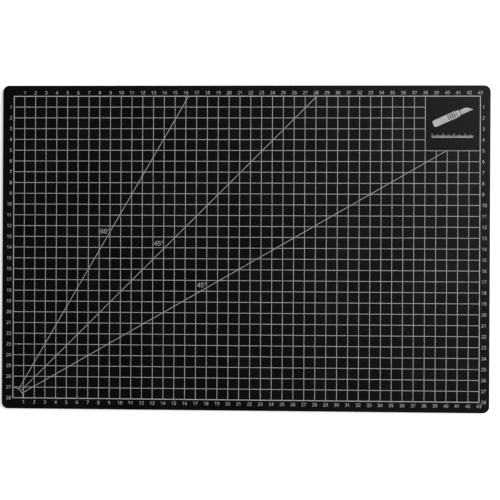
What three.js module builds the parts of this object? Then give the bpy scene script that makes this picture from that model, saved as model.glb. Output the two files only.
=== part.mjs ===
// Self-healing cutting mat: five bonded PVC plies with a screen-printed centimetre ruling.
// Millimetres, +Z up. The origin is the centre of the underside, +X runs along the long side
// and +Y points to the back edge, where the columns are numbered.

import * as THREE from 'three';

// Overall size and die-cut edge
const matLength = 450;
const matWidth = 300;
const cornerRadius = 6;
const cornerSteps = 12;
const edgeBreak = 0.15;

// Plies
const skinThickness = 0.4;
const healingThickness = 0.6;
const coreThickness = 1;

// Ruling
const gridPitch = 10;
const printMargin = 10; // plain rim outside the ruling, where the numbers stand
const printShift = 0.5; // the screen prints this far right of the mat's middle
const ruleWidth = 0.45;
const borderWidth = 0.7;
const panelColumns = 5;
const panelRows = 5;

// Angle guides, drawn from a point just off the front left corner of the ruling
const guideAngles = [60, 45, 30];
const guideShiftX = 0.7; // from the ruling's corner to the point where the guides would meet
const guideShiftY = -0.2;
const guideWidth = 0.45;
const arcRadius = 9.7;
const arcWidth = 0.45;
const arcSteps = 24;
const guideGap = 0.3; // clear distance from the corner arc to the start of each guide

// Ink: each level is one pass of the screen, so crossing lines lie one on the other
const inkFilm = 0.03;
const guideLevel = 0;
const columnLevel = 1;
const rowLevel = 2;

// Marks in the plain panel: a craft knife above a short scale
const markMargin = 6; // panel border to the ends of both marks
const knifeTilt = 24; // degrees
const knifeDrop = 18; // panel top to the middle of the knife
const handleWidth = 6.4;
const gripSlots = 4;
const gripSlotWidth = 0.8;
const gripSlotPitch = 2;
const bladeLength = 12;
const bladeWidth = 4.4;
const bladeTipLength = 6;
const scaleDrop = 38; // panel top to the base line of the scale
const scaleBaseWidth = 0.6;
const tickPitch = 1;
const tickWidth = 0.4;
const tickHeights = { each: 2, fifth: 3, tenth: 4 };

// Worked out from the sizes above
const columns = Math.floor((matLength - 2 * printMargin) / gridPitch);
const rows = Math.floor((matWidth - 2 * printMargin) / gridPitch);
const gridLeft = printShift - (columns * gridPitch) / 2;
const gridRight = gridLeft + columns * gridPitch;
const gridFront = (-rows * gridPitch) / 2;
const gridBack = -gridFront;
const panelLeft = gridRight - panelColumns * gridPitch;
const panelFront = gridBack - panelRows * gridPitch;
const panelSpan = gridRight - panelLeft;

const columnX = (column) => gridLeft + column * gridPitch;
const rowY = (row) => gridBack - row * gridPitch; // rows are counted from the back

const skinMaterial = () =>
  new THREE.MeshStandardMaterial({ color: 0x18181a, roughness: 0.78, metalness: 0 });
const healingMaterial = () =>
  new THREE.MeshStandardMaterial({ color: 0x222325, roughness: 0.7, metalness: 0 });
const coreMaterial = () =>
  new THREE.MeshStandardMaterial({ color: 0x3a3b3e, roughness: 0.6, metalness: 0 });
const inkMaterial = () =>
  new THREE.MeshStandardMaterial({ color: 0xc2c6c6, roughness: 0.55, metalness: 0 });

const mat = new THREE.Group();

function addPiece(name, geometry, material, z = 0) {
  const piece = new THREE.Mesh(geometry, material);
  piece.name = name;
  piece.position.z = z;
  mat.add(piece);
}

// Outline of the die-cut sheet, pulled in by inset, anticlockwise seen from above
function sheetOutline(inset) {
  const radius = cornerRadius - inset;
  const centreX = matLength / 2 - cornerRadius;
  const centreY = matWidth / 2 - cornerRadius;
  const corners = [[1, 1], [-1, 1], [-1, -1], [1, -1]];
  const points = [];
  corners.forEach(([sideX, sideY], corner) => {
    for (let step = 0; step <= cornerSteps; step += 1) {
      const angle = (corner + step / cornerSteps) * (Math.PI / 2);
      points.push(new THREE.Vector2(
        sideX * centreX + radius * Math.cos(angle),
        sideY * centreY + radius * Math.sin(angle),
      ));
    }
  });
  return points;
}

// Closed sheet through outlines stacked from the lowest up, each an inset and a height
function sheetGeometry(levels) {
  const outlines = levels.map(({ inset }) => sheetOutline(inset));
  const count = outlines[0].length;
  const positions = [];
  levels.forEach(({ z }, level) => {
    outlines[level].forEach((point) => positions.push(point.x, point.y, z));
  });
  const indices = [];
  for (let level = 0; level < levels.length - 1; level += 1) {
    for (let i = 0; i < count; i += 1) {
      const next = (i + 1) % count;
      const low = level * count;
      const high = low + count;
      indices.push(low + i, low + next, high + next);
      indices.push(low + i, high + next, high + i);
    }
  }
  const top = (levels.length - 1) * count;
  THREE.ShapeUtils.triangulateShape(outlines[0], []).forEach(([a, b, c]) => {
    indices.push(a, c, b);
    indices.push(top + a, top + b, top + c);
  });
  const geometry = new THREE.BufferGeometry();
  geometry.setAttribute('position', new THREE.Float32BufferAttribute(positions, 3));
  geometry.setIndex(indices);
  return geometry;
}

// Flat film on a lattice of uneven cells, where isInk says which cells are printed
function latticeGeometry(xs, ys, isInk) {
  const across = xs.length - 1;
  const along = ys.length - 1;
  const layer = xs.length * ys.length;
  const printed = (i, j) => i >= 0 && j >= 0 && i < across && j < along && isInk(i, j);
  const positions = [0, inkFilm].flatMap((z) => ys.flatMap((y) => xs.flatMap((x) => [x, y, z])));
  const indices = [];
  const addQuad = (a, b, c, d) => indices.push(a, b, c, a, c, d);
  const addWall = (a, b) => addQuad(a, b, b + layer, a + layer);
  for (let j = 0; j < along; j += 1) {
    for (let i = 0; i < across; i += 1) {
      if (!printed(i, j)) continue;
      const frontLeft = j * xs.length + i;
      const frontRight = frontLeft + 1;
      const backLeft = frontLeft + xs.length;
      const backRight = backLeft + 1;
      addQuad(frontLeft, backLeft, backRight, frontRight);
      addQuad(frontLeft + layer, frontRight + layer, backRight + layer, backLeft + layer);
      if (!printed(i, j - 1)) addWall(frontLeft, frontRight);
      if (!printed(i + 1, j)) addWall(frontRight, backRight);
      if (!printed(i, j + 1)) addWall(backRight, backLeft);
      if (!printed(i - 1, j)) addWall(backLeft, frontLeft);
    }
  }
  const geometry = new THREE.BufferGeometry();
  geometry.setAttribute('position', new THREE.Float32BufferAttribute(positions, 3));
  geometry.setIndex(indices);
  return geometry;
}

// Both edges of a printed line
const lineEdges = (middle, width) => [middle - width / 2, middle + width / 2];

function inkGeometry(outline, openings = []) {
  const shape = new THREE.Shape(outline);
  shape.holes = openings.map((opening) => new THREE.Path(opening));
  return new THREE.ExtrudeGeometry(shape, { depth: inkFilm, bevelEnabled: false });
}

// Plies, bonded face to face from the table up
function addPlies() {
  const plies = [
    { name: 'bottom_skin', thickness: skinThickness, material: skinMaterial(), below: true },
    { name: 'lower_healing_layer', thickness: healingThickness, material: healingMaterial() },
    { name: 'core_sheet', thickness: coreThickness, material: coreMaterial() },
    { name: 'upper_healing_layer', thickness: healingThickness, material: healingMaterial() },
    { name: 'top_skin', thickness: skinThickness, material: skinMaterial(), above: true },
  ];
  const slope = Math.min(edgeBreak, skinThickness / 2);
  let low = 0;
  plies.forEach(({ name, thickness, material, below, above }) => {
    const high = low + thickness;
    const levels = [{ inset: 0, z: low }, { inset: 0, z: high }];
    if (below) {
      levels[0] = { inset: 0, z: low + slope };
      levels.unshift({ inset: slope, z: low });
    }
    if (above) {
      levels[1] = { inset: 0, z: high - slope };
      levels.push({ inset: slope, z: high });
    }
    addPiece(name, sheetGeometry(levels), material);
    low = high;
  });
  return low;
}

const printFace = addPlies();

function addInk(name, geometry, level) {
  addPiece(name, geometry, inkMaterial(), printFace + level * inkFilm);
}

// Column lines with the whole border and the front edge of the panel
function addColumnRules() {
  const xs = [];
  for (let column = 0; column <= columns; column += 1) {
    const outer = column === 0 || column === columns;
    xs.push(...lineEdges(columnX(column), outer ? borderWidth : ruleWidth));
  }
  const ys = [
    ...lineEdges(gridFront, borderWidth),
    ...lineEdges(panelFront, ruleWidth),
    ...lineEdges(gridBack, borderWidth),
  ];
  const panelColumn = columns - panelColumns;
  const isInk = (i, j) => {
    const column = Math.floor(i / 2);
    const onLine = i % 2 === 0;
    if (j === 0 || j === 4) return true; // front and back border
    if (j === 2) return onLine || column >= panelColumn; // level with the panel's front edge
    if (j === 1) return onLine;
    return onLine && (column <= panelColumn || column === columns);
  };
  addInk('vertical_rules', latticeGeometry(xs, ys, isInk), columnLevel);
}

// Row lines, joined by the side borders and, beside the panel, by its left edge
function addRowRules() {
  const xs = [
    ...lineEdges(gridLeft, borderWidth),
    ...lineEdges(panelLeft, ruleWidth),
    ...lineEdges(gridRight, borderWidth),
  ];
  const ys = [];
  for (let row = rows - 1; row >= 1; row -= 1) ys.push(...lineEdges(rowY(row), ruleWidth));
  const isInk = (i, j) => {
    const row = rows - 1 - Math.floor(j / 2); // the line itself, or the line in front of a gap
    const onLine = j % 2 === 0;
    if (onLine) return row >= panelRows || i <= 2;
    const besidePanel = row <= panelRows;
    return i === 0 || (besidePanel ? i === 2 : i === 4);
  };
  addInk('horizontal_rules', latticeGeometry(xs, ys, isInk), rowLevel);
}

// Distance from a point to the back border, the right border or the panel, whichever comes first
function reach(x, y, directionX, directionY) {
  const toBack = (gridBack - y) / directionY;
  const toRight = (gridRight - x) / directionX;
  const toPanel = Math.max((panelLeft - x) / directionX, (panelFront - y) / directionY);
  return Math.min(toBack, toRight, toPanel);
}

// Distance along a guide from the meeting point to a circle round the ruling's corner
function distanceToCircle(radius, directionX, directionY) {
  const along = guideShiftX * directionX + guideShiftY * directionY;
  const across = guideShiftX * directionY - guideShiftY * directionX;
  return Math.sqrt(radius ** 2 - across ** 2) - along;
}

function addGuides() {
  const clearRadius = arcRadius + arcWidth / 2 + guideGap;
  guideAngles.forEach((degrees) => {
    const angle = THREE.MathUtils.degToRad(degrees);
    const directionX = Math.cos(angle);
    const directionY = Math.sin(angle);
    const start = distanceToCircle(clearRadius, directionX, directionY);
    const startX = gridLeft + guideShiftX + start * directionX;
    const startY = gridFront + guideShiftY + start * directionY;
    const starts = [];
    const ends = [];
    [-1, 1].forEach((side) => {
      const x = startX + (side * guideWidth / 2) * directionY;
      const y = startY - (side * guideWidth / 2) * directionX;
      const distance = reach(x, y, directionX, directionY);
      starts.push(new THREE.Vector2(x, y));
      ends.push(new THREE.Vector2(x + distance * directionX, y + distance * directionY));
    });
    const outline = [starts[1], ends[1], ends[0], starts[0]];
    addInk(`angle_line_${degrees}`, inkGeometry(outline), guideLevel);
  });
  const outer = arcRadius + arcWidth / 2;
  const inner = arcRadius - arcWidth / 2;
  const arc = new THREE.Shape();
  arc.absarc(gridLeft, gridFront, outer, 0, Math.PI / 2, false);
  arc.absarc(gridLeft, gridFront, inner, Math.PI / 2, 0, true);
  const settings = { depth: inkFilm, bevelEnabled: false, curveSegments: arcSteps };
  addInk('corner_arc', new THREE.ExtrudeGeometry(arc, settings), guideLevel);
}

// Craft knife, drawn level and then tilted with its blade up and to the right
function addKnifeMark() {
  const tilt = THREE.MathUtils.degToRad(knifeTilt);
  const length = (panelSpan - 2 * markMargin - handleWidth * Math.sin(tilt)) / Math.cos(tilt);
  const centreX = panelLeft + panelSpan / 2;
  const centreY = gridBack - knifeDrop;
  const tail = -length / 2;
  const shoulder = length / 2 - bladeLength;
  const tip = length / 2;
  const halfHandle = handleWidth / 2;
  const halfBlade = bladeWidth / 2;
  const place = ([x, y]) => new THREE.Vector2(
    centreX + x * Math.cos(tilt) - y * Math.sin(tilt),
    centreY + x * Math.sin(tilt) + y * Math.cos(tilt),
  );
  const outline = [
    [tail, -halfHandle],
    [shoulder - halfHandle, -halfHandle],
    [shoulder, -halfBlade],
    [tip, -halfBlade],
    [tip - bladeTipLength, halfBlade],
    [shoulder, halfBlade],
    [shoulder - halfHandle, halfHandle],
    [tail, halfHandle],
  ].map(place);
  const slots = [];
  for (let slot = 0; slot < gripSlots; slot += 1) {
    const right = shoulder - halfHandle - gripSlotPitch - slot * gripSlotPitch;
    const left = right - gripSlotWidth;
    const edge = halfHandle - gripSlotWidth;
    slots.push([[left, -edge], [right, -edge], [right, edge], [left, edge]].map(place));
  }
  addInk('panel_knife_mark', inkGeometry(outline, slots), guideLevel);
}

// Scale: a base line with a tick each millimetre, longer at each fifth and tenth
function addScaleMark() {
  const left = panelLeft + markMargin;
  const base = gridBack - scaleDrop;
  const ticks = Math.floor((panelSpan - 2 * markMargin - tickWidth) / tickPitch);
  const xs = [];
  for (let tick = 0; tick <= ticks; tick += 1) {
    const tickLeft = left + tick * tickPitch;
    xs.push(tickLeft, tickLeft + tickWidth);
  }
  const heights = [0, scaleBaseWidth, tickHeights.each, tickHeights.fifth, tickHeights.tenth];
  const isInk = (i, j) => {
    const tick = i / 2;
    if (j === 0 || i % 2 === 1) return j === 0;
    if (j === 3) return tick % 10 === 0;
    return j === 1 || tick % 5 === 0;
  };
  const ys = heights.map((height) => base + height);
  addInk('panel_scale_mark', latticeGeometry(xs, ys, isInk), guideLevel);
}

addColumnRules();
addRowRules();
addGuides();
addKnifeMark();
addScaleMark();

export default mat;
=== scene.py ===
import math

import bmesh
import bpy
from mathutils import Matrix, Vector


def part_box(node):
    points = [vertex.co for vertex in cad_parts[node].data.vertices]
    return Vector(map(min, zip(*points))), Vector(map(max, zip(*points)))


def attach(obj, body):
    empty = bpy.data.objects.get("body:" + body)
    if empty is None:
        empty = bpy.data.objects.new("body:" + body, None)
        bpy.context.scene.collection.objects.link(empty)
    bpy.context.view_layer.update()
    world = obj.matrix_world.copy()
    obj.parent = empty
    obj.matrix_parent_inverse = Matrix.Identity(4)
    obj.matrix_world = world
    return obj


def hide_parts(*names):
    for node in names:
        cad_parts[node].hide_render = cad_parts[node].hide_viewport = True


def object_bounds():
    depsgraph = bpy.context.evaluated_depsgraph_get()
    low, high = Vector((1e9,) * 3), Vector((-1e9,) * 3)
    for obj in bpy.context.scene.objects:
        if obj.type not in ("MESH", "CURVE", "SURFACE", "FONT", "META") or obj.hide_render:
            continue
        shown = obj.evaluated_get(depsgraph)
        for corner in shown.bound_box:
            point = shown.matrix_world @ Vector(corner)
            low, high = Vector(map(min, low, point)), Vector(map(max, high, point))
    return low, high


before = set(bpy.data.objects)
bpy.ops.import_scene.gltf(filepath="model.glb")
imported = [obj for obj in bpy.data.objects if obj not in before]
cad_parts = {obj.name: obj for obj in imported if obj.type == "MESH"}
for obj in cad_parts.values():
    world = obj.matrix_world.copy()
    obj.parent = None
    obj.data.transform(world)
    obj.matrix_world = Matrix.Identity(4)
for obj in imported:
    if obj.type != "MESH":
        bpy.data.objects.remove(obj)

cadBox = [list(corner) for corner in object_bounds()]
mm = 0.001
print("frame loaded with", len(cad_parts), "parts")


class Wire:  # a socket of a node tree, so that node maths reads as plain sums

    def __init__(self, tree, socket=None):
        self.tree = tree
        self.socket = socket

    def node(self, kind, settings=None, inputs=None, out=0):
        made = self.tree.nodes.new(kind)
        for name, value in (settings or {}).items():
            setattr(made, name, value)
        given = inputs if isinstance(inputs, dict) else dict(enumerate(inputs or []))
        for key, value in given.items():
            for part in value if isinstance(value, list) else [value]:  # a list joins many links
                if isinstance(part, Wire):
                    self.tree.links.new(part.socket, made.inputs[key])
                else:
                    made.inputs[key].default_value = part
        return Wire(self.tree, made.outputs[out] if len(made.outputs) else None)

    def of(self, name):  # another output of the same node
        return Wire(self.tree, self.socket.node.outputs[name])

    def maths(self, operation, *terms):
        return self.node("ShaderNodeMath", {"operation": operation}, terms)

    def __add__(self, other):
        return self.maths("ADD", self, other)

    def __radd__(self, other):
        return self.maths("ADD", other, self)

    def __sub__(self, other):
        return self.maths("SUBTRACT", self, other)

    def __rsub__(self, other):
        return self.maths("SUBTRACT", other, self)

    def __mul__(self, other):
        return self.maths("MULTIPLY", self, other)

    def __rmul__(self, other):
        return self.maths("MULTIPLY", other, self)

    def __truediv__(self, other):
        return self.maths("DIVIDE", self, other)

    def __gt__(self, other):
        return self.maths("GREATER_THAN", self, other)

    def __lt__(self, other):
        return self.maths("LESS_THAN", self, other)

    def __mod__(self, other):
        return self.maths("FLOORED_MODULO", self, other)

    def __abs__(self):
        return self.maths("ABSOLUTE", self)

    def floored(self):
        return self.maths("FLOOR", self)

    def ramped(self, low, high):  # 0 at low, 1 at high, eased between
        settings = {"interpolation_type": "SMOOTHSTEP"}
        limits = {"Value": self, "From Min": low, "From Max": high}
        return self.node("ShaderNodeMapRange", settings, limits)

    def between(self, first, second):  # two colours, mixed by this amount
        mixed = {0: self, 6: first, 7: second}  # the colour sockets of a Mix node
        return self.node("ShaderNodeMix", {"data_type": "RGBA"}, mixed, out=2)


# where things are, all read from the frame
gridPlan = {
    "pitch": 10 * mm,
    "ruleWidth": 0.45 * mm,
    "borderWidth": 0.7 * mm,
    "panelColumns": 5,
    "panelRows": 5,
}
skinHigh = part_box("top_skin")[1]
rulesLow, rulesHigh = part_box("vertical_rules")
halfBorder = gridPlan["borderWidth"] / 2
gridLeft = rulesLow.x + halfBorder
gridRight = rulesHigh.x - halfBorder
gridFront = rulesLow.y + halfBorder
gridBack = rulesHigh.y - halfBorder
columns = round((gridRight - gridLeft) / gridPlan["pitch"])
rows = round((gridBack - gridFront) / gridPlan["pitch"])
panelLeft = gridRight - gridPlan["panelColumns"] * gridPlan["pitch"]
panelFront = gridBack - gridPlan["panelRows"] * gridPlan["pitch"]
printFace = skinHigh.z
print("ruling of", columns, "columns and", rows, "rows")


def newPiece(name, mesh, material, replaced=()):
    piece = bpy.data.objects.new(name, mesh)
    bpy.context.collection.objects.link(piece)
    if not mesh.materials:
        mesh.materials.append(material)
    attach(piece, "root")
    if replaced:
        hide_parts(*replaced)
    return piece


def tidyMesh(mesh, distance):  # one skin, faces outwards
    shell = bmesh.new()
    shell.from_mesh(mesh)
    bmesh.ops.remove_doubles(shell, verts=shell.verts, dist=distance)
    bmesh.ops.recalc_face_normals(shell, faces=shell.faces)
    shell.to_mesh(mesh)
    shell.free()


# the sheet that all five plies are cut to
sheetPlan = {
    "cornerRadius": 6 * mm,
    "cornerSteps": 20,
    "edgeStep": 6 * mm,
    "wander": 0.02 * mm,  # how far the cut edge strays inwards
    "edgeRound": 0.3 * mm,
    "roundSteps": 5,
    "bulgeSteps": 6,
    "flatBand": 1.5 * mm,  # flat ring between the rounded edge and the big flat face
    "softGroove": 0.06 * mm,  # how far the bond lines of a soft ply are drawn in
    "softBulge": 0.05 * mm,
    "firmGroove": 0.05 * mm,
    "firmBulge": 0.02 * mm,
}


# finishes
def newMaterial(name):
    material = bpy.data.materials.new(name)
    material.use_nodes = True
    material.node_tree.nodes.clear()
    return material, Wire(material.node_tree)


def closeMaterial(start, changing, constant, height, relief):
    normal = start.node("ShaderNodeBump", None, {"Strength": 1, "Distance": relief, "Height": height})
    shader = start.node("ShaderNodeBsdfPrincipled", None, {**constant, **changing, "Normal": normal})
    start.node("ShaderNodeOutputMaterial", None, {"Surface": shader})


def noiseAt(place, size, detail=2, stretch=(1, 1, 1)):  # size is the width of a blotch
    fineness = tuple(share / size for share in stretch)
    settings = {"vector_type": "POINT"}
    spread = place.node("ShaderNodeMapping", settings, {"Vector": place, "Scale": fineness})
    return place.node("ShaderNodeTexNoise", None, {"Vector": spread, "Scale": 1, "Detail": detail})


def pebbles(place, size):  # rounded bumps of the calendered skin
    cut = {"Vector": place, "Scale": 1 / size, "Smoothness": 0.6}
    return 1 - place.node("ShaderNodeTexVoronoi", {"feature": "SMOOTH_F1"}, cut)


def outlineDistance(place):  # how far inside the cut edge a point lies
    radius = sheetPlan["cornerRadius"]
    parts = place.node("ShaderNodeSeparateXYZ", None, [place])
    alongX = abs(parts) - (skinHigh.x - radius)
    alongY = abs(parts.of("Y")) - (skinHigh.y - radius)
    cornerX = alongX.maths("MAXIMUM", alongX, 0)
    cornerY = alongY.maths("MAXIMUM", alongY, 0)
    outside = cornerX.maths("SQRT", cornerX * cornerX + cornerY * cornerY)
    inside = alongX.maths("MINIMUM", alongX.maths("MAXIMUM", alongX, alongY), 0)
    return radius - outside - inside


skinLook = {
    "black": (0.0019, 0.0019, 0.002, 1),
    "faded": (0.0034, 0.0033, 0.0034, 1),
    "rubbed": (0.014, 0.014, 0.0145, 1),
    "pebble": 0.42 * mm,
    "grit": 0.12 * mm,
    "orange": 1.5 * mm,  # the slow roll of an orange-peel face under the pebbles
    "cloud": 60 * mm,
    "rubbedBand": 0.9 * mm,
    "blotches": (0.35, 0.7),  # noise below the first is none, above the second is full
    "cloudShare": 0.8,  # of the fading, and the rest is grit
    "rubbedShare": 1.0,
    "relief": 0.016 * mm,
    "gritRelief": 0.35,  # beside pebbles of 1
    "peelRelief": 1.6,
    "rough": 0.4,
    "cloudRough": 0.12,
    "gritRough": 0.1,
    "streak": 2.2 * mm,  # faint polish along the mat
    "streakStretch": (0.06, 1, 1),
    "streakBlotches": (0.6, 0.78),
    "streakRough": 0.04,
    "specular": 0.28,
}


def skinFinish(name, look):
    material, start = newMaterial(name)
    place = start.node("ShaderNodeTexCoord").of("Object")
    cloud = noiseAt(place, look["cloud"], detail=4)
    grit = noiseAt(place, look["grit"])
    bumps = pebbles(place, look["pebble"])
    peel = noiseAt(place, look["orange"])
    streaks = noiseAt(place, look["streak"], detail=3, stretch=look["streakStretch"])
    streaks = streaks.ramped(*look["streakBlotches"])
    rim = 1 - outlineDistance(place).ramped(0, look["rubbedBand"])
    fading = cloud.ramped(*look["blotches"]) * look["cloudShare"] + grit * (1 - look["cloudShare"])
    colour = fading.between(look["black"], look["faded"])
    rubbing = rim * grit.ramped(*look["blotches"]) * look["rubbedShare"]
    colour = rubbing.between(colour, look["rubbed"])
    rough = look["rough"] + (cloud - 0.5) * look["cloudRough"] + (grit - 0.5) * look["gritRough"]
    rough = rough - streaks * look["streakRough"]
    height = bumps + grit * look["gritRelief"] + peel * look["peelRelief"]
    changing = {"Base Color": colour, "Roughness": rough}
    closeMaterial(start, changing, {"Specular IOR Level": look["specular"]}, height, look["relief"])
    return material


softLook = {
    "dark": (0.011, 0.011, 0.012, 1),
    "pale": (0.024, 0.024, 0.026, 1),
    "mark": 0.25 * mm,  # width of the marks that the die leaves
    "shearStretch": (1, 1, 0.08),  # drawn down the cut
    "layerStretch": (0.02, 0.02, 1.2),  # run round the mat
    "shearShare": 0.7,  # of the colour, and the rest is layers
    "blotches": (0.35, 0.7),
    "rough": 0.6,
    "shearRough": 0.2,
    "relief": 0.04 * mm,
    "layerRelief": 0.5,
    "specular": 0.4,
}
firmLook = {
    **softLook,
    "dark": (0.026, 0.027, 0.03, 1),
    "pale": (0.05, 0.051, 0.055, 1),
    "rough": 0.5,
}


def cutEdgeFinish(name, look):  # plies that show only where the die cut them
    material, start = newMaterial(name)
    place = start.node("ShaderNodeTexCoord").of("Object")
    shear = noiseAt(place, look["mark"], detail=3, stretch=look["shearStretch"])
    layers = noiseAt(place, look["mark"], detail=2, stretch=look["layerStretch"])
    marks = shear * look["shearShare"] + layers * (1 - look["shearShare"])
    colour = marks.ramped(*look["blotches"]).between(look["dark"], look["pale"])
    changing = {"Base Color": colour, "Roughness": look["rough"] + (shear - 0.5) * look["shearRough"]}
    height = shear + layers * look["layerRelief"]
    closeMaterial(start, changing, {"Specular IOR Level": look["specular"]}, height, look["relief"])
    return material


inkLook = {
    "pale": (0.46, 0.476, 0.492, 1),
    "thin": (0.37, 0.384, 0.399, 1),
    "bare": (0.05, 0.05, 0.052, 1),
    "mottle": 7 * mm,
    "mottleBlotches": (0.35, 0.72),
    "speck": 0.2 * mm,  # pinholes where the ink missed a hollow of the skin
    "speckBlotches": (0.66, 0.78),
    "speckShare": 0.25,
    "relief": 0.013 * mm,
    "speckRelief": 0.3,
    "rough": 0.5,
    "mottleRough": 0.15,
    "speckRough": 0.1,
    "specular": 0.45,
}


def inkFinish(name, look):
    material, start = newMaterial(name)
    place = start.node("ShaderNodeTexCoord").of("Object")
    mottle = noiseAt(place, look["mottle"], detail=3)
    speck = noiseAt(place, look["speck"], detail=1)
    bumps = pebbles(place, skinLook["pebble"])
    colour = mottle.ramped(*look["mottleBlotches"]).between(look["pale"], look["thin"])
    pinholes = speck.ramped(*look["speckBlotches"]) * look["speckShare"]
    colour = pinholes.between(colour, look["bare"])
    rough = look["rough"] + (mottle - 0.5) * look["mottleRough"] + (speck - 0.5) * look["speckRough"]
    changing = {"Base Color": colour, "Roughness": rough}
    height = bumps + speck * look["speckRelief"]
    closeMaterial(start, changing, {"Specular IOR Level": look["specular"]}, height, look["relief"])
    return material


backLook = {
    **skinLook,
    "pebble": 0.6 * mm,
    "relief": 0.012 * mm,
    "rubbedShare": 1.4,
}
topVinyl = skinFinish("pebbledBlackVinyl", skinLook)
backVinyl = skinFinish("plainBlackVinyl", backLook)
softVinyl = cutEdgeFinish("softVinyl", softLook)
firmVinyl = cutEdgeFinish("firmVinyl", firmLook)
ink = inkFinish("greyInk", inkLook)
print("finishes made")


# the five plies, cut together by one die
def cutOutline():  # points of the cut edge with their outward directions, anticlockwise
    radius = sheetPlan["cornerRadius"]
    halfX = skinHigh.x - radius
    halfY = skinHigh.y - radius
    centres = [(halfX, halfY), (-halfX, halfY), (-halfX, -halfY), (halfX, -halfY)]
    outline = []
    for corner, (x, y) in enumerate(centres):
        for step in range(sheetPlan["cornerSteps"] + 1):
            angle = (corner + step / sheetPlan["cornerSteps"]) * math.pi / 2
            outward = Vector((math.cos(angle), math.sin(angle)))
            outline.append((Vector((x, y)) + radius * outward, outward))
        start, outward = outline[-1]
        nextX, nextY = centres[(corner + 1) % 4]
        end = Vector((nextX, nextY)) + radius * outward
        steps = round((end - start).length / sheetPlan["edgeStep"])
        for step in range(1, steps):
            outline.append((start.lerp(end, step / steps), outward))
    return outline


def strayed(point, seed):  # 0 to 1, a slow wave and a quicker one round the outline
    turns = point.x * 61 + point.y * 83
    return 0.5 + 0.25 * math.sin(turns + seed) + 0.25 * math.sin(2.7 * turns + 1.9 * seed)


def sheetMesh(name, levels, seed):  # levels run up from the underside, each a height and an inset
    outline = cutOutline()
    shell = bmesh.new()
    rings = []
    for height, inset in levels:
        ring = []
        for point, outward in outline:
            stray = sheetPlan["wander"] * strayed(point, seed)
            place = point - outward * (inset + stray)
            ring.append(shell.verts.new((place.x, place.y, height)))
        rings.append(ring)
    count = len(outline)
    for low, high in zip(rings, rings[1:]):
        for i in range(count):
            j = (i + 1) % count
            shell.faces.new((low[i], low[j], high[j], high[i]))
    shell.faces.new(rings[0][::-1])
    shell.faces.new(rings[-1])
    mesh = bpy.data.meshes.new(name)
    shell.to_mesh(mesh)
    shell.free()
    mesh.shade_smooth()
    return mesh


def roundedEdge(face, away):  # from the flat face round to the cut side, away being +1 up or -1 down
    radius = sheetPlan["edgeRound"]
    levels = [(face, radius + sheetPlan["flatBand"])]
    for step in range(sheetPlan["roundSteps"] + 1):
        angle = step / sheetPlan["roundSteps"] * math.pi / 2
        levels.append((face - away * radius * (1 - math.cos(angle)), radius * (1 - math.sin(angle))))
    return levels


def bulgedEdge(low, high, groove, bulge):  # shallow groove at each bond line, swollen between
    steps = sheetPlan["bulgeSteps"]
    levels = [(low, groove + sheetPlan["flatBand"])]
    for step in range(steps + 1):
        share = step / steps
        levels.append((low + (high - low) * share, groove - bulge * math.sin(share * math.pi)))
    levels.append((high, groove + sheetPlan["flatBand"]))
    return levels


def addSheet(name, node, material, levels, seed):
    mesh = sheetMesh(name, levels, seed)
    newPiece(name, mesh, material, [node])


def addPlies():
    low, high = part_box("bottom_skin")
    side = [(high.z, 0), (high.z, sheetPlan["flatBand"])]
    addSheet("backSkin", "bottom_skin", backVinyl, roundedEdge(low.z, -1) + side, 1)
    soft = (softVinyl, "healing_vinyl", sheetPlan["softGroove"], sheetPlan["softBulge"])
    firm = (firmVinyl, "core_vinyl", sheetPlan["firmGroove"], sheetPlan["firmBulge"])
    layers = [
        ("lowerSoftSheet", "lower_healing_layer", soft),
        ("coreBoard", "core_sheet", firm),
        ("upperSoftSheet", "upper_healing_layer", soft),
    ]
    for seed, (name, node, (material, slotName, groove, bulge)) in enumerate(layers, 2):
        low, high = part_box(node)
        addSheet(name, node, material, bulgedEdge(low.z, high.z, groove, bulge), seed)
    low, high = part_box("top_skin")
    side = [(low.z, 0), (low.z, sheetPlan["flatBand"])]
    levels = (roundedEdge(high.z, 1) + side)[::-1]
    addSheet("cuttingSkin", "top_skin", topVinyl, levels, 5)


addPlies()
print("plies made")


# ruling, numerals and scale, grown by node trees
weldDistance = mm / 1000


def newTree(name, inputs):
    tree = bpy.data.node_groups.new(name, "GeometryNodeTree")
    for label, kind in inputs.items():
        tree.interface.new_socket(label, in_out="INPUT", socket_type="NodeSocket" + kind)
    tree.interface.new_socket("Geometry", in_out="OUTPUT", socket_type="NodeSocketGeometry")
    start = Wire(tree)
    entry = start.node("NodeGroupInput")
    return tree, start, {label: entry.of(label) for label in inputs}


def closeTree(flat, given):  # a flat shape becomes a closed film of ink, lifted to its level
    lift = flat.node("ShaderNodeCombineXYZ", None, [0.0, 0.0, given["Level"]])
    flat = flat.node("GeometryNodeSetPosition", None, {"Geometry": flat, "Offset": lift})
    rise = {"Mesh": flat, "Offset Scale": given["Film"], "Individual": False}
    raised = flat.node("GeometryNodeExtrudeMesh", None, rise)
    under = flat.node("GeometryNodeFlipFaces", None, {"Mesh": flat})
    whole = flat.node("GeometryNodeJoinGeometry", None, [[under, raised]])
    weld = {"Geometry": whole, "Distance": weldDistance}
    whole = whole.node("GeometryNodeMergeByDistance", None, weld)
    whole = whole.node("GeometryNodeRealizeInstances", None, [whole])
    whole = whole.node("GeometryNodeSetMaterial", None, {"Geometry": whole, "Material": ink})
    whole.node("NodeGroupOutput", None, [whole])


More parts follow.
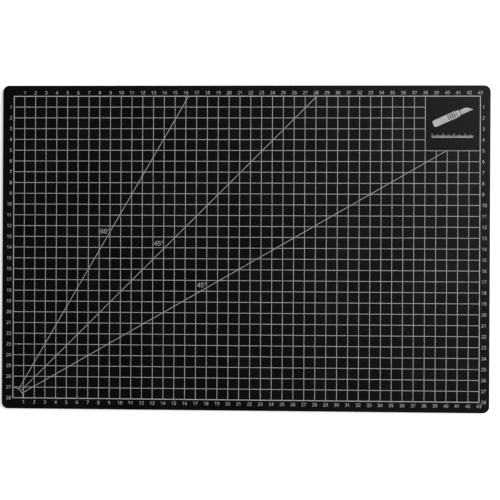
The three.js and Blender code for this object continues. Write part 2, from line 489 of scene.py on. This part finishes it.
def growPiece(name, tree, values, replaced=()):
    holder = bpy.data.objects.new(name + "Holder", bpy.data.meshes.new(name))
    bpy.context.collection.objects.link(holder)
    modifier = holder.modifiers.new("grow", "NODES")
    modifier.node_group = tree
    for item in tree.interface.items_tree:
        if item.in_out == "INPUT":
            modifier[item.identifier] = values[item.name]
    graph = bpy.context.evaluated_depsgraph_get()
    mesh = bpy.data.meshes.new_from_object(holder.evaluated_get(graph), depsgraph=graph)
    holder.modifiers.remove(modifier)
    bpy.data.objects.remove(holder)
    mesh.name = name
    tidyMesh(mesh, weldDistance)
    return newPiece(name, mesh, ink, replaced)


filmPlan = {
    "ruling": 0.05 * mm,
    "guides": 0.07 * mm,  # a second pass, a little proud of the ruling it crosses
    "marks": 0.05 * mm,
}


def rulingTree():
    counts = dict.fromkeys(["Columns", "Rows", "Panel columns", "Panel rows"], "Int")
    sizes = dict.fromkeys(["Pitch", "Rule width", "Border width", "Level", "Film"], "Float")
    tree, start, given = newTree("ruling", {**counts, **sizes, "Corner": "Vector"})
    across = given["Columns"] * 2 + 1  # each line is a pair of grid lines, so odd strips are open cells
    along = given["Rows"] * 2 + 1
    counted = {"Size X": across, "Size Y": along, "Vertices X": across + 1, "Vertices Y": along + 1}
    grid = start.node("GeometryNodeMeshGrid", None, counted)
    spot = start.node("ShaderNodeSeparateXYZ", None, [start.node("GeometryNodeInputPosition")])
    i = spot + across / 2
    j = spot.of("Y") + along / 2
    strip = i.floored()
    band = j.floored()
    cell = (strip % 2) * (band % 2)
    lastStrip = given["Columns"] * 2
    lastBand = given["Rows"] * 2
    inPanelX = (strip > lastStrip - given["Panel columns"] * 2) * (strip < lastStrip)
    inPanelY = (band > lastBand - given["Panel rows"] * 2) * (band < lastBand)
    opening = cell.maths("MAXIMUM", cell, inPanelX * inPanelY)
    frameOnly = {"Geometry": grid, "Selection": opening > 0.5}
    printed = grid.node("GeometryNodeDeleteGeometry", {"domain": "FACE"}, frameOnly)

    def linePlace(place, count):  # from counted strips to real distances
        line = (place * 0.5 + 0.25).floored()
        edge = (line < 0.5) + (line > count - 0.5)
        width = given["Rule width"] + edge * (given["Border width"] - given["Rule width"])
        return line * given["Pitch"] + ((place - line * 2) - 0.5) * width

    x = linePlace(i, given["Columns"])
    y = linePlace(j, given["Rows"])
    flatPlace = x.node("ShaderNodeCombineXYZ", None, [x, y, 0.0])
    offset = x.node("ShaderNodeVectorMath", {"operation": "ADD"}, [flatPlace, given["Corner"]])
    placed = printed.node("GeometryNodeSetPosition", None, {"Geometry": printed, "Position": offset})
    closeTree(placed, given)
    return tree


def addRuling():
    growPiece("ruledGrid", rulingTree(), {
        "Columns": columns,
        "Rows": rows,
        "Pitch": gridPlan["pitch"],
        "Rule width": gridPlan["ruleWidth"],
        "Border width": gridPlan["borderWidth"],
        "Panel columns": gridPlan["panelColumns"],
        "Panel rows": gridPlan["panelRows"],
        "Corner": (gridLeft, gridFront, 0.0),
        "Level": printFace,
        "Film": filmPlan["ruling"],
    }, ["vertical_rules", "horizontal_rules"])


numeralPlan = {
    "height": 3 * mm,
    "labelHeight": 4.1 * mm,
    "capShare": 0.714,  # height of a digit in a font of size 1
    "squeeze": 0.97,
    "curveSteps": 3,
    "firstSansDigit": 0x1D7E2,  # plain digits whose one has a flag
    "backGap": 1.75 * mm,
    "frontGap": 2.15 * mm,
    "sideGap": 1.8 * mm,
}


def sansDigits(text):  # swaps ordinary digits for the flagged sans serif ones
    for digit in range(10):
        sansDigit = chr(numeralPlan["firstSansDigit"] + digit)
        swap = {"String": text, "Find": str(digit), "Replace": sansDigit}
        text = text.node("FunctionNodeReplaceString", None, swap)
    return text


def writtenFlat(text, size, align):
    settings = {"align_x": align, "align_y": "BOTTOM_BASELINE"}
    return text.node("GeometryNodeStringToCurves", settings, {"String": text, "Size": size})


def filledFlat(curves):
    curves = curves.node("GeometryNodeRealizeInstances", None, [curves])
    finer = {"Geometry": curves, "Resolution": numeralPlan["curveSteps"]}
    curves = curves.node("GeometryNodeSetSplineResolution", None, finer)
    return curves.node("GeometryNodeFillCurve", {"mode": "TRIANGLES"}, {"Curve": curves})


def numeralTree(align):
    sizes = dict.fromkeys(["Size", "Squeeze", "Level", "Film"], "Float")
    places = dict.fromkeys(["First", "Step"], "Vector")
    tree, start, given = newTree("numerals" + align.title(), {"Count": "Int", **places, **sizes})
    opening = start.tree.nodes.new("GeometryNodeRepeatInput")
    closing = start.tree.nodes.new("GeometryNodeRepeatOutput")
    opening.pair_with_output(closing)
    start.tree.links.new(given["Count"].socket, opening.inputs["Iterations"])
    turn = Wire(start.tree, opening.outputs["Iteration"])
    gathered = Wire(start.tree, opening.outputs["Geometry"])
    text = turn.node("FunctionNodeValueToString", {"data_type": "INT"}, [turn + 1])
    written = writtenFlat(sansDigits(text), given["Size"], align)
    steps = {"Vector": given["Step"], "Scale": turn}
    stride = turn.node("ShaderNodeVectorMath", {"operation": "SCALE"}, steps)
    place = turn.node("ShaderNodeVectorMath", {"operation": "ADD"}, [given["First"], stride])
    narrow = turn.node("ShaderNodeCombineXYZ", None, [given["Squeeze"], 1.0, 1.0])
    moved = {"Geometry": written, "Translation": place, "Scale": narrow}
    written = written.node("GeometryNodeTransform", None, moved)
    joined = written.node("GeometryNodeJoinGeometry", None, [[gathered, written]])
    start.tree.links.new(joined.socket, closing.inputs["Geometry"])
    closeTree(filledFlat(Wire(start.tree, closing.outputs["Geometry"])), given)
    return tree


def addNumerals():
    height = numeralPlan["height"]
    pitch = gridPlan["pitch"]
    trees = {align: numeralTree(align) for align in ("CENTER", "LEFT", "RIGHT")}
    firstColumn = gridLeft + pitch
    firstRow = gridBack - pitch - height / 2  # baseline of a numeral level with the first row line
    backLine = gridBack + numeralPlan["backGap"]
    frontLine = gridFront - numeralPlan["frontGap"] - height
    sideGap = numeralPlan["sideGap"]
    strips = [
        ("backNumerals", "CENTER", columns, (firstColumn, backLine), (pitch, 0)),
        ("frontNumerals", "CENTER", columns, (firstColumn, frontLine), (pitch, 0)),
        ("leftNumerals", "RIGHT", rows, (gridLeft - sideGap, firstRow), (0, -pitch)),
        ("rightNumerals", "LEFT", rows, (gridRight + sideGap, firstRow), (0, -pitch)),
    ]
    for name, align, count, first, step in strips:
        growPiece(name, trees[align], {
            "Count": count,
            "First": (*first, 0.0),
            "Level": printFace,
            "Step": (*step, 0.0),
            "Size": height / numeralPlan["capShare"],
            "Squeeze": numeralPlan["squeeze"],
            "Film": filmPlan["marks"],
        })


labelPlan = {  # text, then how far right and forward of the ruling's back left corner it starts
    "angleLabel60": ("60°", 81 * mm, 127 * mm),
    "angleLabel45": ("45°", 131.3 * mm, 137.9 * mm),
    "angleLabel30": ("45°", 171.2 * mm, 176.3 * mm),
}


def labelTree():
    sizes = dict.fromkeys(["Size", "Squeeze", "Level", "Film"], "Float")
    tree, start, given = newTree("angleLabel", {"Text": "String", "Place": "Vector", **sizes})
    written = writtenFlat(sansDigits(given["Text"]), given["Size"], "LEFT")
    narrow = start.node("ShaderNodeCombineXYZ", None, [given["Squeeze"], 1.0, 1.0])
    moved = {"Geometry": written, "Translation": given["Place"], "Scale": narrow}
    closeTree(filledFlat(written.node("GeometryNodeTransform", None, moved)), given)
    return tree


def addLabels():
    tree = labelTree()
    for name, (text, right, forward) in labelPlan.items():
        growPiece(name, tree, {
            "Text": text,
            "Place": (gridLeft + right, gridBack - forward, 0.0),
            "Level": printFace,
            "Size": numeralPlan["labelHeight"] / numeralPlan["capShare"],
            "Squeeze": numeralPlan["squeeze"],
            "Film": filmPlan["marks"],
        })


addRuling()
addNumerals()
addLabels()
print("ruling and numerals printed")


# angle guides and panel marks, drawn as flat outlines
def printOutlines(name, outlines, film, replaced):
    drawing = bpy.data.curves.new(name, "CURVE")
    drawing.dimensions = "2D"
    drawing.fill_mode = "BOTH"
    drawing.extrude = film / 2
    for outline in outlines:
        spline = drawing.splines.new("POLY")
        spline.points.add(len(outline) - 1)
        spline.use_cyclic_u = True
        for point, (x, y) in zip(spline.points, outline):
            point.co = (x, y, 0, 1)
    holder = bpy.data.objects.new(name + "Holder", drawing)
    bpy.context.collection.objects.link(holder)
    graph = bpy.context.evaluated_depsgraph_get()
    mesh = bpy.data.meshes.new_from_object(holder.evaluated_get(graph), depsgraph=graph)
    bpy.data.objects.remove(holder)
    for vertex in mesh.vertices:
        vertex.co.z += printFace + film / 2
    mesh.materials.clear()
    tidyMesh(mesh, weldDistance)
    return newPiece(name, mesh, ink, replaced)


guidePlan = {
    "width": 0.45 * mm,
    "arcSteps": 32,
    "shift": (0.7 * mm, -0.2 * mm),  # from the ruling's corner to where the guides would meet
    "joinGap": 0.02 * mm,  # hair gap where a guide meets the arc
    "standOff": {60: 0, 45: 0.5 * mm, 30: 0},  # the middle guide stops short of the arc
}


def guideReach(x, y, directionX, directionY):  # to the back border, the right border or the panel
    toBack = (gridBack - y) / directionY
    toRight = (gridRight - x) / directionX
    toPanel = max((panelLeft - x) / directionX, (panelFront - y) / directionY)
    return min(toBack, toRight, toPanel)


def guideStart(radius, directionX, directionY):  # from the meeting point to a circle round the corner
    shiftX, shiftY = guidePlan["shift"]
    along = shiftX * directionX + shiftY * directionY
    across = shiftX * directionY - shiftY * directionX
    return math.sqrt(radius * radius - across * across) - along


def addGuides():
    half = guidePlan["width"] / 2
    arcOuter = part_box("corner_arc")[1].x - gridLeft
    arcInner = arcOuter - guidePlan["width"]
    shiftX, shiftY = guidePlan["shift"]
    for degrees, standOff in guidePlan["standOff"].items():
        angle = math.radians(degrees)
        directionX, directionY = math.cos(angle), math.sin(angle)
        start = guideStart(arcOuter + guidePlan["joinGap"], directionX, directionY) + standOff
        ends = []
        for side in (-half, half):
            x = gridLeft + shiftX + start * directionX + side * directionY
            y = gridFront + shiftY + start * directionY - side * directionX
            reach = guideReach(x, y, directionX, directionY)
            ends.append([(x, y), (x + reach * directionX, y + reach * directionY)])
        outline = ends[1] + ends[0][::-1]
        printOutlines(f"guide{degrees}", [outline], filmPlan["guides"], [f"angle_line_{degrees}"])
    arc = []
    steps = guidePlan["arcSteps"]
    turns = [step / steps * math.pi / 2 for step in range(steps + 1)]
    for radius, way in ((arcOuter, turns), (arcInner, turns[::-1])):
        arc += [(gridLeft + radius * math.cos(t), gridFront + radius * math.sin(t)) for t in way]
    printOutlines("cornerArc", [arc], filmPlan["guides"], ["corner_arc"])


knifePlan = {
    "margin": 6 * mm,
    "tilt": 24,
    "drop": 18 * mm,  # panel top to the middle of the knife
    "handleWidth": 6.4 * mm,
    "tailRound": 0.55,  # share of half the handle
    "roundSteps": 10,
    "bladeLength": 12 * mm,
    "bladeWidth": 4.4 * mm,
    "bladeSweep": 0.62,  # share of the blade's length that the curved back takes
    "sweepSteps": 8,
    "gap": 0.5 * mm,
    "slots": 4,
    "slotPitch": 2 * mm,
    "slotWidth": 0.8 * mm,
}


def addKnifeMark():
    plan = knifePlan
    tilt = math.radians(plan["tilt"])
    span = gridRight - panelLeft
    length = (span - 2 * plan["margin"] - plan["handleWidth"] * math.sin(tilt)) / math.cos(tilt)
    tail, shoulder, tip = -length / 2, length / 2 - plan["bladeLength"], length / 2
    wide, narrow = plan["handleWidth"] / 2, plan["bladeWidth"] / 2
    gap = plan["gap"]
    middleX, middleY = panelLeft + span / 2, gridBack - plan["drop"]

    def tilted(points):
        return [(middleX + x * math.cos(tilt) - y * math.sin(tilt),
                 middleY + x * math.sin(tilt) + y * math.cos(tilt)) for x, y in points]

    def corner(y, first):  # a quarter turn round the end of the handle
        steps = plan["roundSteps"]
        turns = [math.radians(first + 90 * step / steps) for step in range(steps + 1)]
        return [(tail + bend + bend * math.cos(t), y + bend * math.sin(t)) for t in turns]

    neck = shoulder - wide
    bend = wide * plan["tailRound"]
    handle = [(neck - gap, -wide), (neck - gap, wide)]
    handle += corner(wide - bend, 90)
    handle += corner(bend - wide, 180)
    collar = [(neck, -wide), (shoulder, -narrow), (shoulder, narrow), (neck, wide)]
    heel = shoulder + gap
    blade = [(heel, -narrow), (tip, -narrow)]
    for step in range(1, plan["sweepSteps"] + 1):
        share = step / plan["sweepSteps"]
        x = heel + (tip - heel) * (1 - share * plan["bladeSweep"])
        y = -narrow + 2 * narrow * math.sin(share * math.pi / 2)
        blade.append((x, y))
    blade.append((heel, narrow))
    outlines = [handle, collar, blade]
    edge = wide - plan["slotWidth"]
    for slot in range(plan["slots"]):
        right = neck - plan["slotPitch"] * (slot + 1)
        left = right - plan["slotWidth"]
        outlines.append([(left, -edge), (right, -edge), (right, edge), (left, edge)])
    printOutlines("knifeMark", [tilted(o) for o in outlines], filmPlan["marks"], ["panel_knife_mark"])


scalePlan = {
    "lineWidth": 0.6 * mm,
    "tickWidth": 0.4 * mm,
    "pitch": 1 * mm,
    "heights": (2 * mm, 3 * mm, 4 * mm),  # each, fifth and tenth
    "gap": 0.02 * mm,
}


def scaleTree():
    lengths = ["Pitch", "Tick width", "Line width", "Gap", "Short", "Middle", "Long", "Level", "Film"]
    sizes = dict.fromkeys(lengths, "Float")
    tree, start, given = newTree("scale", {"Ticks": "Int", "Place": "Vector", **sizes})
    square = {"Size X": 1, "Size Y": 1, "Vertices X": 2, "Vertices Y": 2}
    bar = start.node("GeometryNodeMeshGrid", None, square)
    step = start.node("ShaderNodeCombineXYZ", None, [given["Pitch"], 0.0, 0.0])
    counted = {"Count": given["Ticks"], "Offset": step}
    points = start.node("GeometryNodeMeshLine", {"mode": "OFFSET"}, counted)
    number = start.node("GeometryNodeInputIndex")
    fifth = (number % 5) < 0.5
    tenth = (number % 10) < 0.5
    top = given["Short"] + fifth * (given["Middle"] - given["Short"])
    top = top + tenth * (given["Long"] - given["Middle"])
    foot = given["Line width"] + given["Gap"]
    tall = top - foot
    size = start.node("ShaderNodeCombineXYZ", None, [given["Tick width"], tall, 1.0])
    lift = start.node("ShaderNodeCombineXYZ", None, [given["Tick width"] / 2, foot + tall / 2, 0.0])
    lifted = start.node("GeometryNodeSetPosition", None, {"Geometry": points, "Offset": lift})
    placed = {"Points": lifted, "Instance": bar, "Scale": size}
    ticks = start.node("GeometryNodeInstanceOnPoints", None, placed)
    length = (given["Ticks"] - 1) * given["Pitch"] + given["Tick width"]
    lineSize = start.node("ShaderNodeCombineXYZ", None, [length, given["Line width"], 1.0])
    lineMiddle = start.node("ShaderNodeCombineXYZ", None, [length / 2, given["Line width"] / 2, 0.0])
    stretched = {"Geometry": bar, "Translation": lineMiddle, "Scale": lineSize}
    line = start.node("GeometryNodeTransform", None, stretched)
    whole = start.node("GeometryNodeJoinGeometry", None, [[ticks, line]])
    whole = start.node("GeometryNodeRealizeInstances", None, [whole])
    whole = start.node("GeometryNodeTransform", None, {"Geometry": whole, "Translation": given["Place"]})
    closeTree(whole, given)
    return tree


def addScaleMark():
    low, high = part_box("panel_scale_mark")
    growPiece("scaleMark", scaleTree(), {
        "Ticks": round((high.x - low.x - scalePlan["tickWidth"]) / scalePlan["pitch"]) + 1,
        "Pitch": scalePlan["pitch"],
        "Tick width": scalePlan["tickWidth"],
        "Line width": scalePlan["lineWidth"],
        "Gap": scalePlan["gap"],
        "Short": scalePlan["heights"][0],
        "Middle": scalePlan["heights"][1],
        "Long": scalePlan["heights"][2],
        "Place": (low.x, low.y, 0.0),
        "Level": printFace,
        "Film": filmPlan["marks"],
    }, ["panel_scale_mark"])


addGuides()
addKnifeMark()
addScaleMark()
print("guides and panel marks printed")


# floor, light and camera
floorPlan = {
    "half": 6.0,
    "cells": 8,
    "drop": 0.05 * mm,  # under the mat, so that the two faces don't meet
    "pale": (0.8, 0.8, 0.8, 1),
    "grey": (0.77, 0.77, 0.775, 1),
    "glow": 0.58,  # lit a little from below, as a light table is
    "cloud": 400 * mm,
    "relief": 0.01 * mm,
    "rough": 0.8,
    "cloudRough": 0.1,
}


def addFloor():
    material, start = newMaterial("paleFloor")
    place = start.node("ShaderNodeTexCoord").of("Object")
    cloud = noiseAt(place, floorPlan["cloud"], detail=3)
    colour = cloud.between(floorPlan["pale"], floorPlan["grey"])
    rough = floorPlan["rough"] + (cloud - 0.5) * floorPlan["cloudRough"]
    changing = {"Base Color": colour, "Roughness": rough}
    constant = {"Emission Color": (1, 1, 1, 1), "Emission Strength": floorPlan["glow"]}
    closeMaterial(start, changing, constant, cloud, floorPlan["relief"])
    shell = bmesh.new()
    cells = floorPlan["cells"]
    bmesh.ops.create_grid(shell, x_segments=cells, y_segments=cells, size=floorPlan["half"])
    bmesh.ops.translate(shell, verts=shell.verts, vec=(0, 0, cadBox[0][2] - floorPlan["drop"]))
    mesh = bpy.data.meshes.new("floor")
    shell.to_mesh(mesh)
    shell.free()
    mesh.materials.append(material)
    floor = bpy.data.objects.new("floor", mesh)
    bpy.context.collection.objects.link(floor)


lightPlan = {
    "daylight": {
        "kind": "SUN",
        "place": (0.95, 0.35, 0.62),
        "power": 2.8,
        "spread": 60,
        "mirrored": False,
    },
    "window": {
        "kind": "AREA",
        "place": (1.05, 0.5, 0.85),
        "power": 17,
        "size": 1.9,
        "mirrored": True,
    },
}
skyPlan = {
    "horizon": 0.95,
    "overhead": 0.03,
    "fade": (0.12, 0.3),  # height of direction where the horizon's glow starts and ends fading
}


def addLights():
    for name, plan in lightPlan.items():
        lamp = bpy.data.lights.new(name, plan["kind"])
        lamp.energy = plan["power"]
        if plan["kind"] == "SUN":
            lamp.angle = math.radians(plan["spread"])
        else:
            lamp.shape = "DISK"
            lamp.size = plan["size"]
        holder = bpy.data.objects.new(name, lamp)
        holder.location = plan["place"]
        holder.rotation_euler = (-Vector(plan["place"])).to_track_quat("-Z", "Y").to_euler()
        holder.visible_glossy = plan["mirrored"]  # only the window leaves a sheen on the vinyl
        bpy.context.collection.objects.link(holder)
    world = bpy.data.worlds.new("studio")
    world.use_nodes = True
    world.node_tree.nodes.clear()
    start = Wire(world.node_tree)
    direction = start.node("ShaderNodeTexCoord").of("Object")
    height = start.node("ShaderNodeSeparateXYZ", None, [direction]).of("Z")
    faded = height.ramped(*skyPlan["fade"])
    glow = skyPlan["horizon"] + faded * (skyPlan["overhead"] - skyPlan["horizon"])
    sky = start.node("ShaderNodeBackground", None, {"Color": (1, 1, 1, 1), "Strength": glow})
    start.node("ShaderNodeOutputWorld", None, {"Surface": sky})
    bpy.context.scene.world = world


cameraPlan = {
    "place": (50.5 * mm, -1.5 * mm, 1089.9 * mm),
    "turn": (0.001, 2.377, 0.279),  # degrees about x, y and z
    "lens": 85,
    "sensor": 36,
    "nearest": 10 * mm,
}


def addCamera():
    camera = bpy.data.cameras.new("camera")
    camera.lens = cameraPlan["lens"]
    camera.sensor_width = cameraPlan["sensor"]
    camera.clip_start = cameraPlan["nearest"]
    holder = bpy.data.objects.new("camera", camera)
    holder.location = cameraPlan["place"]
    holder.rotation_euler = [math.radians(angle) for angle in cameraPlan["turn"]]
    bpy.context.collection.objects.link(holder)
    bpy.context.scene.camera = holder
    bpy.context.scene.view_settings.view_transform = "Standard"


addFloor()
addLights()
addCamera()
print("studio ready")
